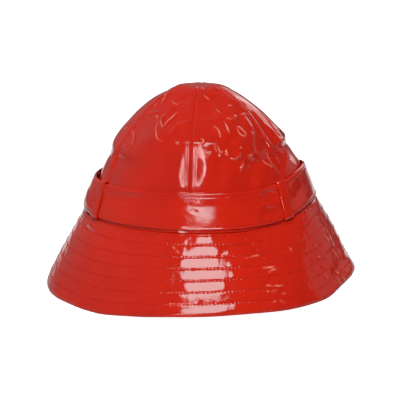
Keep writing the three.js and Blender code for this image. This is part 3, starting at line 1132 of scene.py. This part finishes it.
brimCloth = {
    "columns": 960,
    "innerColumns": 240,
    "innerRows": 30,
    "crowding": 0.42,         # brings the columns closer together at the front
    "crowdedAt": 20,
    "rowShares": [0.86, 0.7175, 0.575, 0.4325, 0.29, 0.1475],   # from the rim at 0
    "weltShare": 0.975,
    # where the mesh has its rows: at the rim, round each row of stitches, and at the seam
    "rimPlaces": [0.0, 0.006, 0.014, 0.026, 0.045, 0.07, 0.1],
    "rowPlaces": [-0.034, -0.024, -0.016, -0.0085, 0.0, 0.0085, 0.016, 0.024, 0.034, 0.053, 0.071, 0.09],
    "seamPlaces": [0.955, 0.965, 0.975, 0.984, 0.992, 1.0],
    "leastStep": 0.004,
    # how strong the rows are: fully at the front, less beyond these degrees from its middle
    "strongAt": 5,
    "strongReach": (14, 34),
    "strongLoss": 0.75,
    "rowDepth": 0.12,
    "rowWidth": 0.8,
    "weltDepth": 0.3,
    "weltWidth": 0.7,
    "puff": 0.10,
    "holeDepth": 0.3,
    "holeWidth": 0.75,
    "holeShift": 1.7,         # from one row to the next, so that the holes don't line up
    "pitch": 3.1,
    "foldHeight": 0.3,
    "foldSize": 42.0,
    "puckerHeight": 0.13,
    "puckerSize": 4.2,
    "puckerTurn": 2.2,        # puckers a degree and along the slant, before their size
    "puckerSlant": 60,
    "ruffleAt": 8,            # they are weaker at the front
    "ruffleReach": (25, 75),
    "ruffleRest": 0.6,
    "crumpleSize": 22.0,
    "crumpleTilt": 0.05,
    "crispness": 5.0,
    "crumpleRest": 0.25,
    "crumpleFrom": (45, 80),  # the wearer's left is the most crumpled, between these degrees
    "crumpleTo": (110, 150),
    "waviness": 0.7,
    # ridges narrower than this get a pale painted highlight
    "glintWidth": 1.45,
    "glintHalf": 0.45,
    "rimRound": 1.2,
    "rimWidth": 1.2,
    "seamTuck": 0.9,
    "tuckStart": 0.985,
    "floorGap": 0.02,         # keeps the rim off the floor
}

brimDents = table("x y wide high lean height", [
    (206, 236, 13, 17, 0, 1.4),
    (204, 312, 20, 26, 0, -0.8),
    (219, 250, 3.2, 3.2, 0, 0.22),
    (229, 252, 3.5, 4, 0, 0.28),
    (232, 265, 3, 3, 0, 0.2),
    (235, 275, 3, 5, 0, 0.2),
    (192, 262, 8, 5, 0, -0.2),
    (204, 307, 26, 6, 0, -0.3),
    (188, 286, 6, 5, 0, 0.25),
    (222, 288, 6, 5, 0, 0.25),
    (51, 286, 22, 22, 0, 2.8),
    (351, 271, 10, 16, 0, 3.4),
])

brimCreases = table("places width height", [
    ([(83, 225), (90, 230), (97, 236)], 1.6, -0.9),
    ([(86, 222), (93, 227), (99, 232)], 2.0, 0.5),
    ([(312, 202), (314, 207)], 1.1, 0.5),
    ([(316, 212), (319, 219)], 1.1, 0.5),
    ([(321, 224), (324, 231)], 1.1, 0.5),
    ([(325, 235), (327, 239), (331, 246)], 1.2, 0.6),
    ([(333, 251), (338, 258)], 1.1, 0.5),
    ([(296, 236), (299, 240)], 1.0, 0.4),
    ([(300, 248), (304, 255)], 1.1, 0.5),
    ([(303, 237), (306, 240)], 1.0, 0.35),
    ([(313, 244), (317, 248)], 1.1, 0.45),
    ([(315, 256), (322, 258), (326, 256)], 1.0, 0.4),
    ([(320, 263), (324, 270)], 1.1, 0.5),
    ([(323, 274), (329, 279)], 1.2, 0.5),
    ([(330, 262), (334, 267)], 1.1, 0.5),
    ([(335, 271), (340, 275), (344, 279)], 1.1, 0.5),
    ([(289, 247), (292, 252)], 0.9, 0.3),
    ([(241, 260), (252, 257), (258, 256)], 0.9, 0.3),
    ([(244, 236), (251, 242), (259, 251)], 1.0, 0.3),
    ([(173, 246), (180, 254)], 1.0, 0.3),
    ([(262, 267.5), (276, 267.5)], 1.0, 0.4),
    ([(268, 273), (272, 271), (276, 269.5)], 0.9, 0.4),
    ([(265, 285), (272, 286), (278, 286.5), (284, 285)], 0.9, 0.4),
    ([(262, 291.5), (269, 291), (275, 291), (280, 295), (285, 292)], 0.9, 0.45),
    ([(268, 302), (278, 301.5), (289, 302.5)], 1.0, 0.35),
    ([(254, 256), (260, 256), (266, 258)], 0.9, 0.3),
    ([(343, 263), (349, 268)], 0.9, 0.5),
    ([(341, 268), (348, 274)], 0.9, 0.5),
    ([(338, 274), (345, 281)], 0.9, 0.5),
    ([(335, 277), (342, 285)], 0.9, 0.5),
])

brimTree = frontTree(brimSection, -110, 120, np.linspace(0, 1, 40))


def brimRows():
    # places along the brim, close together at each row of stitches
    spec = brimCloth
    places = set(spec["rimPlaces"] + spec["seamPlaces"])
    for share in spec["rowShares"]:
        places.update(share + beside for beside in spec["rowPlaces"])
    kept = [0.0]
    for place in sorted(places):
        if place <= 1 and place - kept[-1] > spec["leastStep"]:
            kept.append(place)
    return np.array(kept)


def brimAngles(columns):
    # closer together at the front than behind
    spec = brimCloth
    even = np.linspace(-180, 180, columns, endpoint=False)[None, :]
    crowded = math.degrees(spec["crowding"]) * np.sin(np.radians(even - spec["crowdedAt"]))
    return even - crowded


def brimRelief(points, angle, along):
    # stitch rows, puckers, folds and creases, as heights over the plain brim
    spec = brimCloth
    slant = brimSpec["slant"]
    stops = np.array(sorted(spec["rowShares"] + [spec["weltShare"], 0.0]))
    nearest = np.min(np.abs(along[..., None] - stops), axis=-1) * slant
    gap = np.diff(stops).mean() * slant / 2
    between = np.sin(np.clip(nearest / gap, 0, 1) * np.pi / 2)
    strength = 1 - spec["strongLoss"] * smoothStep(np.abs(angle - spec["strongAt"]), *spec["strongReach"])
    relief = spec["puff"] * strength * between ** 0.7
    turns = np.radians(angle) * brimSection(angle, along)[0]
    for i, share in enumerate(spec["rowShares"]):
        off = (along - share) * slant
        relief -= spec["rowDepth"] * strength * bump(off, spec["rowWidth"])
        holes = 0.5 + 0.5 * np.cos(2 * np.pi * turns / spec["pitch"] + i * spec["holeShift"])
        relief -= spec["holeDepth"] * strength * holes * bump(off, spec["holeWidth"])
    relief -= spec["weltDepth"] * bump((along - spec["weltShare"]) * slant, spec["weltWidth"])
    relief += spec["foldHeight"] * spaceNoise(points, spec["foldSize"], 31)
    # puckers across the rows, shorter along the brim than across it
    squeezed = np.stack([angle * spec["puckerTurn"], along * spec["puckerSlant"], 0 * angle], axis=-1)
    pucker = spec["puckerHeight"] * spaceNoise(squeezed, spec["puckerSize"], 33)
    beside = smoothStep(np.abs(angle - spec["ruffleAt"]), *spec["ruffleReach"])
    relief += pucker * atLeast(spec["ruffleRest"], beside) * (1.2 - 0.6 * between)
    crumpled = crumple(points, spec["crumpleSize"], 41, spec["crispness"], spec["crumpleTilt"])
    left = smoothStep(angle, *spec["crumpleFrom"]) * (1 - smoothStep(angle, *spec["crumpleTo"]))
    relief += crumpled * atLeast(spec["crumpleRest"], left)
    ridges, glintPaint = addCreases(points, brimTree, brimCreases, spec)
    relief += ridges + addDents(points, brimTree, brimDents)
    relief -= spec["seamTuck"] * smoothStep(along, spec["tuckStart"], 1.0)
    # the rim turns under in a soft round hem
    relief -= spec["rimRound"] * bump(along * slant, spec["rimWidth"])
    relief *= smoothStep(1 - along, -0.01, 0.02) * 0.9 + 0.1
    return relief, glintPaint


def makeBrim():
    spec = brimCloth
    places = brimRows()
    angle = brimAngles(spec["columns"]) + 0 * places[:, None]
    along = places[:, None] + 0 * angle
    points = surface(brimSection, angle, along)
    normals = gridNormals(points, True)
    relief, glintPaint = brimRelief(points, angle, along)
    outer = points + normals * relief[..., None]
    innerAlong = np.linspace(0, 1, spec["innerRows"] + 1)[:, None]
    innerAngle = brimAngles(spec["innerColumns"]) + 0 * innerAlong
    base = surface(brimSection, innerAngle, innerAlong + 0 * innerAngle)
    under = -gridNormals(base, True)
    inner = base + under * brimSpec["wall"]
    for edge in (0, -1):
        inner[edge, :, 2] = base[edge, :, 2]
    for face in (outer, inner):
        face[..., 2] = np.maximum(face[..., 2], spec["floorGap"])
    obj = shellObject("brim_cloth", outer, inner, True, [vinyl, vinyl], glintPaint)
    dressed(obj, "coated_cloth", "brim")
    underRows = []
    for share in spec["rowShares"]:
        i = int(round(share * spec["innerRows"]))
        underRows.append((base[i] + under[i] * brimSpec["wall"], under[i], True))
    rows = [nearestRow(outer, normals, places, share) for share in spec["rowShares"] + [spec["weltShare"]]]
    return rows, underRows


brimLines, underLines = makeBrim()
brimStitches = {
    "pitch": 3.1,
    "length": 2.0,
    "radius": 0.42,
    "proud": 0.06,
    "sink": 0.3,
    "wobble": 0.05,
    "seed": 9,
}
underStitches = brimStitches | {"pitch": 3.6, "proud": 0.0}
dressed(stitchObject("brim_stitching", brimLines, brimStitches, thread), "thread")
dressed(stitchObject("brim_under_stitching", underLines, underStitches, thread), "thread")
print("rain hat: brim made")


# Band

bandCloth = {
    "columns": 720,
    "innerRows": 9,
    "upperRow": 24.6,         # the stitch rows' heights over the band's lower edge
    "lowerRow": 1.9,
    "rowDepth": 0.15,
    "upperRowWidth": 0.7,
    "lowerRowWidth": 0.6,
    "lipAt": 26.3,            # a slight lip above the upper row
    "lipHeight": 0.08,
    "lipWidth": 0.9,
    "edgeRound": 0.5,
    "edgeReach": 0.7,
    "innerEdge": 0.35,
    "lapStart": (7.0, 7.6),   # degrees each side of the middle behind, where the lap's end lies
    "lapThickness": 0.9,
    "frontLean": 0.95,        # the upper edge leans out at the front
    "frontReach": (20, 50),
    "frontHeights": (17.0, 29.0),
    "middleStart": (0.5, 4.0),    # millimetres from an edge over which the middle begins
    "foldAtEdge": 0.3,            # what stays of each at the edges
    "creaseAtEdge": 0.25,
    "dentAtEdge": 0.35,
    "foldHeight": 0.2,
    "foldSize": 30.0,
    "rippleHeight": 0.05,
    "rippleSize": 7.0,
    "waviness": 0.3,
    # no ridge of the band gets the pale painted highlight
    "glintWidth": 0.0,
    "glintHalf": 0.4,
    "standFrom": 8.0,         # height over the lower edge where it starts to stand out
    "stands": table("angle spread out", [(-50, 13, 2.6), (-68, 12, 1.4), (57, 11, 2.2)]),
}

bandCreases = table("places width height", [
    ([(106, 198), (122, 198.5), (141, 198)], 3.4, -2.3),
    ([(261, 190), (268, 188), (277, 187)], 1.5, 0.9),
    ([(262, 193), (270, 195), (279, 197)], 3.4, -1.5),
    ([(260, 216), (270, 213), (281, 213)], 4.0, -1.1),
    ([(258, 205), (268, 205), (280, 205)], 1.8, 0.8),
    ([(258, 206), (262, 200)], 1.2, -0.6),
    ([(253, 193), (258, 195), (263, 194)], 1.1, 0.4),
    ([(262, 200), (270, 203), (278, 200)], 2.2, 0.4),
    ([(228, 196), (230, 200), (232, 205)], 1.2, 0.4),
    ([(113, 214), (119, 209), (125, 205)], 1.8, 0.35),
    ([(190, 211), (194, 212), (198, 213)], 1.0, -0.35),
    ([(300, 178), (304, 188), (306, 197)], 2.0, 0.4),
    ([(290, 184), (293, 194), (296, 204)], 2.0, 0.3),
    ([(91, 186), (90, 195), (88, 203)], 1.8, 0.4),
])

bandDents = table("x y wide high lean height", [
    (271, 197, 11, 7, 15, -1.0),
    (126, 198, 17, 4, 0, -0.7),
    (89, 200, 9, 14, 0, 2.6),
    (300, 190, 6, 12, -20, -0.7),
    (155, 216, 24, 6, 0, 0.1),
    (240, 214, 16, 8, 0, -0.3),
])

def bandFace(degrees, along):
    # outer face of the band, before its folds
    radius, height = bandSection(degrees, along)
    return radius + bandSpec["wall"], height


bandTree = frontTree(bandFace, -100, 110, np.linspace(0, 1, 20))


def bandStand(angle, up):
    # how far the band stands out, beyond the plain fit round the crown
    total = 0.0
    for row in bandCloth["stands"]:
        total = total + row["out"] * bump(turn(angle, row["angle"]), row["spread"])
    return total * smoothStep(up, bandCloth["standFrom"], bandSpec["width"])


def bandRelief(face, angle, up):
    # edges, stitch rows, folds and creases, as heights over the plain band
    spec = bandCloth
    fromEdge = np.minimum(up, bandSpec["width"] - up)
    middle = smoothStep(fromEdge, *spec["middleStart"])
    edge = 1 - np.clip(fromEdge / spec["edgeReach"], 0, 1)
    relief = -spec["edgeRound"] * (1 - np.sqrt(np.clip(1 - edge ** 2, 0, 1)))
    relief -= spec["rowDepth"] * bump(up - spec["upperRow"], spec["upperRowWidth"])
    relief -= spec["rowDepth"] * bump(up - spec["lowerRow"], spec["lowerRowWidth"])
    relief += spec["lipHeight"] * bump(up - spec["lipAt"], spec["lipWidth"])
    front = 1 - smoothStep(np.abs(angle), *spec["frontReach"])
    relief += spec["frontLean"] * smoothStep(up, *spec["frontHeights"]) * front
    fold = spec["foldHeight"] * spaceNoise(face, spec["foldSize"], 51)
    relief += fold * atLeast(spec["foldAtEdge"], middle)
    relief += spec["rippleHeight"] * spaceNoise(face, spec["rippleSize"], 52)
    ridges, glintPaint = addCreases(face, bandTree, bandCreases, spec)
    relief += ridges * atLeast(spec["creaseAtEdge"], middle)
    relief += addDents(face, bandTree, bandDents) * atLeast(spec["dentAtEdge"], middle)
    return relief, glintPaint


def bandGrid(columns, rows):
    # the band's inner face, standing out where it does
    angle = np.linspace(-180, 180, columns, endpoint=False)[None, :] + 0 * rows[:, None]
    along = rows[:, None] + 0 * angle
    radius, height = bandSection(angle, along)
    return angle, along, radius + bandStand(angle, along * bandSpec["width"]), height


def makeBand():
    spec = bandCloth
    places = np.concatenate([np.linspace(0, 0.14, 12), np.linspace(0.17, 0.8, 22), np.linspace(0.83, 1, 14)])
    angle, along, radius, height = bandGrid(spec["columns"], places)
    lap = 1 - smoothStep(180 - np.abs(angle), *spec["lapStart"])
    thick = bandSpec["wall"] * (1 + spec["lapThickness"] * lap)
    face = ringPoints(angle, radius + thick, height)
    normals = gridNormals(face, True)
    relief, glintPaint = bandRelief(face, angle, along * bandSpec["width"])
    outer = face + normals * relief[..., None]
    angle, along, radius, height = bandGrid(spec["columns"] // 3, np.linspace(0, 1, spec["innerRows"]))
    tuck = np.where((along == 0) | (along == 1), spec["innerEdge"], 0.0)
    inner = ringPoints(angle, radius + tuck, height)
    obj = shellObject("band_cloth", outer, inner, True, [vinyl, vinyl], glintPaint)
    dressed(obj, "coated_cloth", "band")
    heights = places * bandSpec["width"]
    return [nearestRow(outer, normals, heights, spec[row]) for row in ("upperRow", "lowerRow")]


bandLines = makeBand()
bandStitches = {
    "pitch": 3.3,
    "length": 2.4,
    "radius": 0.3,
    "proud": 0.04,
    "sink": 0.3,
    "wobble": 0.06,
    "seed": 12,
}
dressed(stitchObject("band_stitching", bandLines, bandStitches, thread), "thread")
print("rain hat: band made")


# Belt loops

loopSpec = {
    "width": 10.0,
    "wall": 1.2,
    "tail": 3.0,
    "gap": 0.45,
    "columns": 17,
    "edgeThinning": 0.45,
    "ridgeHeight": 0.18,
    "ridgeWidth": 0.9,
    "ridgeShare": 0.72,       # of the way from the middle to the edge
    "dentHeight": 0.12,
    "dentSize": 6.0,
    "angles": {"front_left": 51, "back_left": 128, "back_right": -128, "front_right": -55},
}


def bandPlaces(one, shares):
    # radius and height of the band's inner face at one angle
    places = []
    for share in shares:
        radius, height = bandSection(one, 0 * one + share)
        places.append((radius[0] + bandStand(one, share * bandSpec["width"])[0], height[0]))
    return places


def loopPath(angle):
    # the strip's inner line in the plane through the hat's axis: radius and height
    spec = loopSpec
    one = np.array([float(angle)])
    lower, middle, upper = bandPlaces(one, (0.0, 0.5, 1.0))
    seam = brimSpec["height"] + seamLift(one)[0]
    out = bandSpec["wall"] + spec["gap"]
    foot = lower[1] - spec["gap"]
    shoulder = upper[1] + spec["gap"]

    def crownOut(height):
        return crownAtHeight(one, height - seam)[0][0] + spec["gap"]

    # from its foot, out over the band, and down to the end of its tail
    return np.array([
        (crownOut(foot), foot),
        (lower[0] + out * 0.55, foot - 0.1),
        (lower[0] + out, foot + 1.2),
        (middle[0] + out + 0.25, middle[1]),
        (upper[0] + out, shoulder - 1.2),
        (upper[0] + out * 0.45, shoulder + 0.25),
        (max(crownOut(shoulder), upper[0] - 0.7), shoulder - 0.1),
        (max(crownOut(shoulder - 1.5), upper[0] - 1.3), shoulder - 1.5),
        (max(crownOut(shoulder - spec["tail"]), upper[0] - 1.5), shoulder - spec["tail"]),
    ])


def makeLoop(place, centreAngle):
    spec = loopSpec
    half = math.degrees(spec["width"] / 2 / crownSpec["halfWidth"])
    outer = []
    inner = []
    for share in np.linspace(-1, 1, spec["columns"]):
        angle = centreAngle + half * share
        path = smoothPath(loopPath(angle), 6)
        tangent = np.gradient(path, axis=0)
        tangent /= np.linalg.norm(tangent, axis=1, keepdims=True)
        away = np.stack([tangent[:, 1], -tangent[:, 0]], axis=1)
        wall = spec["wall"] * (1 - spec["edgeThinning"] * abs(share) ** 8)
        fromRidge = (abs(share) - spec["ridgeShare"]) * spec["width"] / 2
        face = path + away * (wall + spec["ridgeHeight"] * bump(fromRidge, spec["ridgeWidth"]))
        outer.append(ringPoints(angle, face[:, 0], face[:, 1]))
        inner.append(ringPoints(angle, path[:, 0], path[:, 1]))
    outer = np.stack(outer, axis=1)
    inner = np.stack(inner, axis=1)
    dent = spec["dentHeight"] * spaceNoise(outer, spec["dentSize"], 61)
    outer = outer + gridNormals(outer, False) * dent[..., None]
    obj = shellObject("loop_" + place + "_cloth", outer, inner, False, [vinyl, vinyl])
    dressed(obj, "coated_cloth", "loop_" + place)


for place, centreAngle in loopSpec["angles"].items():
    makeLoop(place, centreAngle)
print("rain hat: belt loops made")


# Studio: a pale floor, white surroundings, and soft lights

white = (1, 1, 1, 1)

studioSpec = {
    "floorSize": 14.0,
    "floorColour": (0.45, 0.45, 0.45),
    "floorRoughness": 0.9,
    "floorGlow": 1.0,         # only what the camera sees, as the photo's white surround
    "background": 1.0,
    "paleSide": -115.0,       # degrees to the right of the camera
    "paleDrop": -0.3,
    "paleRange": (-0.6, 0.8),
    "paleStrength": 0.22,     # what the cloth mirrors on that side
    "darkStrength": 0.05,     # and on the other
    "aimHeight": 0.09,        # what the lights point at, over the middle of the floor
}


def makeFloor(spec):
    half = spec["floorSize"] / 2
    corners = [(-half, -half, 0), (half, -half, 0), (half, half, 0), (-half, half, 0)]
    mesh = bpy.data.meshes.new("studio_floor")
    mesh.from_pydata(corners, [], [(0, 1, 2, 3)])
    material, tree, shader = newMaterial("pale_floor")
    seen = addNode(tree, "LightPath", {}).outputs["Is Camera Ray"]
    setInputs(tree, shader, {
        "Base Color": (*spec["floorColour"], 1),
        "Roughness": spec["floorRoughness"],
        "Specular IOR Level": 0.0,
        "Emission Color": white,
        "Emission Strength": product(tree, seen, spec["floorGlow"]),
    })
    mesh.materials.append(material)
    floor = bpy.data.objects.new("studio_floor", mesh)
    bpy.context.scene.collection.objects.link(floor)


def makeWorld(spec):
    # white for the camera, and for the cloth a dim room that is paler at one side
    world = bpy.data.worlds.new("studio")
    bpy.context.scene.world = world
    world.use_nodes = True
    tree = world.node_tree
    tree.nodes.clear()
    side = math.radians(cameraSpec["azimuth"] + spec["paleSide"])
    towards = (math.sin(side), -math.cos(side), spec["paleDrop"])
    place = addNode(tree, "TexCoord", {}).outputs["Generated"]
    facing = addNode(tree, "VectorMath", {0: place, 1: towards}, operation="DOT_PRODUCT")
    room = mapped(tree, facing.outputs["Value"], *spec["paleRange"],
                  spec["darkStrength"], spec["paleStrength"])
    shown = addNode(tree, "Background", {"Color": white, "Strength": spec["background"]})
    mirrored = addNode(tree, "Background", {"Color": white, "Strength": room})
    seen = addNode(tree, "LightPath", {}).outputs["Is Camera Ray"]
    mix = addNode(tree, "MixShader", {"Fac": seen, 1: mirrored.outputs["Background"],
                                      2: shown.outputs["Background"]})
    addNode(tree, "OutputWorld", {"Surface": mix.outputs["Shader"]})


# Each light by where it stands as the camera sees the hat: degrees to the right of the
# camera, degrees up, metres off, its width and height in metres and its strength in watts.
# Some only light the cloth, some are only mirrored in its gloss, and the cards do both.
# red is how much red a light has beside its green and blue.
studioLights = table("name shape right up distance wide high power lights mirrored red", [
    ("front_softbox", "ELLIPSE", 4, 47, 1.7, 0.96, 0.84, 16.0, False, True, 0.55),
    ("front_softbox_light", "ELLIPSE", 4, 47, 1.7, 0.96, 0.84, 20.8, True, False, 1.0),
    ("far_right_card", "RECTANGLE", 164, 26, 2.2, 0.6, 1.0, 1.2, True, True, 1.0),
    ("right_card", "RECTANGLE", 117, 14, 2.2, 1.5, 0.65, 0.75, True, True, 1.0),
    ("edge_card", "RECTANGLE", 151, 18, 2.2, 0.75, 0.7, 2.2, True, True, 1.0),
    ("soft_front", "RECTANGLE", 10, 15, 2.0, 1.4, 1.2, 4.5, True, False, 1.0),
    ("soft_left", "RECTANGLE", -60, 35, 2.2, 1.6, 1.6, 10, True, False, 1.0),
    ("soft_right", "RECTANGLE", 75, 30, 2.4, 1.4, 1.4, 0.6, True, False, 1.0),
    ("soft_top", "RECTANGLE", 0, 86, 2.0, 1.6, 1.6, 6.5, True, False, 1.0),
    ("soft_behind", "RECTANGLE", 178, 36, 2.2, 1.8, 1.4, 14, True, False, 1.0),
])

# A white sheet on the floor behind the hat, mirrored only along its outline; metres and watts
floorSheet = {"near": 0.2, "far": 1.6, "wide": 2.4, "height": 0.002, "power": 6.0}

# A ring light beside the camera, made of short strips; degrees, metres and watts a strip
ringLight = {"right": -7.6, "up": 18.0, "halfWidth": 8.5, "halfHeight": 7.6, "distance": 1.7,
             "strips": 16, "wide": 0.026, "power": 0.28}


def ringRows(spec):
    rows = []
    for i in range(spec["strips"]):
        a = 2 * math.pi * (i + 0.5) / spec["strips"]
        right = -spec["halfWidth"] * math.sin(a)
        up = spec["halfHeight"] * math.cos(a)
        long = 2 * math.pi / spec["strips"] * math.hypot(right, up)
        rows.append({
            "name": "ring_strip_" + str(i), "shape": "RECTANGLE",
            "right": spec["right"] + spec["halfWidth"] * math.cos(a),
            "up": spec["up"] + spec["halfHeight"] * math.sin(a),
            "distance": spec["distance"], "wide": spec["wide"],
            "high": math.radians(long) * spec["distance"],
            "power": spec["power"], "lights": True, "mirrored": True, "red": 1.0,
            "roll": math.atan2(up, right) - math.pi / 2,
        })
    return rows


def addLight(name, shape, wide, high, power):
    data = bpy.data.lights.new(name, "AREA")
    data.shape = shape
    data.size = wide
    data.size_y = high
    data.energy = power
    light = bpy.data.objects.new(name, data)
    light.visible_camera = False
    bpy.context.scene.collection.objects.link(light)
    return light


def makeLight(row):
    way = wayTo(cameraSpec["azimuth"] + row["right"], row["up"])
    light = addLight(row["name"], row["shape"], row["wide"], row["high"], row["power"])
    light.data.color = (row["red"], 1.0, 1.0)
    light.visible_glossy = row["mirrored"]
    light.visible_diffuse = row["lights"]
    light.location = Vector((0, 0, studioSpec["aimHeight"])) + way * row["distance"]
    facing = (-way).to_track_quat("-Z", "Y") @ Quaternion((0, 0, 1), row.get("roll", 0.0))
    light.rotation_euler = facing.to_euler()


def makeFloorSheet(spec):
    sheet = addLight("floor_sheet", "RECTANGLE", spec["wide"], spec["far"] - spec["near"], spec["power"])
    sheet.visible_diffuse = False
    away = -wayTo(cameraSpec["azimuth"], 0.0)
    sheet.location = away * (spec["far"] + spec["near"]) / 2 + Vector((0, 0, spec["height"]))
    sheet.rotation_euler = (math.pi, 0, -math.radians(cameraSpec["azimuth"]))


makeFloor(studioSpec)
makeFloorSheet(floorSheet)
makeWorld(studioSpec)
for row in studioLights + ringRows(ringLight):
    makeLight(row)
bpy.context.scene.view_settings.view_transform = "Standard"
print("rain hat: studio made")
